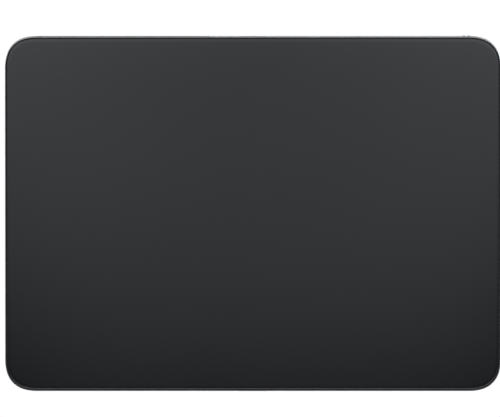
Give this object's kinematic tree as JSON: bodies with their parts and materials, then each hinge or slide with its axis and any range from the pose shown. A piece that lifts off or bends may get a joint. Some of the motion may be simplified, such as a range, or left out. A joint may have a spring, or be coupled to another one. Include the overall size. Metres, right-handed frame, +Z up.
{
  "type": "trackpad",
  "caption": "Wedge-shaped desktop trackpad: a black glass touch plate floats on force beams over an aluminium tray with a charging port and a power switch at the back.",
  "frame": {"origin": "on the desk under the middle of the case", "axes": "+X to the right, +Y to the back edge with the port, +Z up"},
  "size_m": [0.16, 0.115, 0.0109],
  "materials": {
    "anodised_aluminium": "satin",
    "black_glass": "satin",
    "foot_rubber": "matte",
    "adhesive": "matte",
    "window_plastic": "matte",
    "copper_flex": "satin",
    "coax_jacket": "satin",
    "screw_steel": "satin",
    "spring_steel": "satin",
    "gel": "gloss",
    "board_laminate": "satin",
    "chip_epoxy": "matte",
    "connector_plastic": "satin",
    "plate_steel": "satin",
    "rail_steel": "satin",
    "core_steel": "matte",
    "bobbin_plastic": "matte",
    "copper_wire": "gloss",
    "tin_plate": "satin",
    "gold_contact": "polished",
    "port_plastic": "satin",
    "knob_plastic": "satin",
    "cell_foil": "satin",
    "tape": "matte"
  },
  "bodies": {
    "case": {"enclosure": "anodised_aluminium", "rubber_feet": "foot_rubber", "foot_adhesive": "adhesive", "antenna_window": "window_plastic", "antenna_strip": "copper_flex", "antenna_cable": "coax_jacket", "beam_screws_front": "screw_steel", "beam_screws_rear": "screw_steel", "force_beams": "spring_steel", "force_gauges": "copper_flex", "haptic_bracket": "plate_steel", "haptic_core": "core_steel", "core_rivets": "screw_steel", "coil_bobbins": "bobbin_plastic", "haptic_coils": "copper_wire", "haptic_screws": "screw_steel", "haptic_flex": "copper_flex", "main_board": "board_laminate", "main_board_chips": "chip_epoxy", "radio_shield": "tin_plate", "board_connectors": "connector_plastic", "board_screws": "screw_steel", "sensor_flex": "copper_flex", "port_shell": "tin_plate", "port_tongue": "port_plastic", "port_contacts": "gold_contact", "port_bracket": "plate_steel", "port_screws": "screw_steel", "switch_can": "tin_plate", "switch_board": "board_laminate", "switch_screws": "screw_steel", "switch_flex": "copper_flex", "battery_left": "cell_foil", "battery_right": "cell_foil", "battery_tape": "tape", "battery_board": "board_laminate", "battery_chips": "chip_epoxy", "battery_link": "copper_flex", "battery_lead": "copper_flex"},
    "force_frame": {"gel_pads": "gel"},
    "touch_plate": {"touch_glass": "black_glass", "glass_adhesive": "adhesive", "sensor_board": "board_laminate", "sensor_chips": "chip_epoxy", "sensor_connector": "connector_plastic", "platform_plate": "plate_steel", "attraction_rails": "rail_steel"},
    "power_slider": {"switch_knob": "knob_plastic", "switch_lever": "port_plastic"}
  },
  "joints": [
    {"name": "surface_press", "type": "slide", "parent": "case", "child": "force_frame", "axis": [0, 0.0522, -0.9986], "range_m": [0, 0.00025], "stiffness_N_per_m": 20000, "springref_m": -0.0001, "deforming": ["force_beams", "force_gauges", "sensor_flex"]},
    {"name": "haptic_shift", "type": "slide", "parent": "force_frame", "child": "touch_plate", "axis": [1, 0, 0], "range_m": [-0.0001, 0.0001], "stiffness_N_per_m": 30000},
    {"name": "power_switch", "type": "slide", "parent": "case", "child": "power_slider", "axis": [1, 0, 0], "range_m": [-0.0015, 0]}
  ]
}
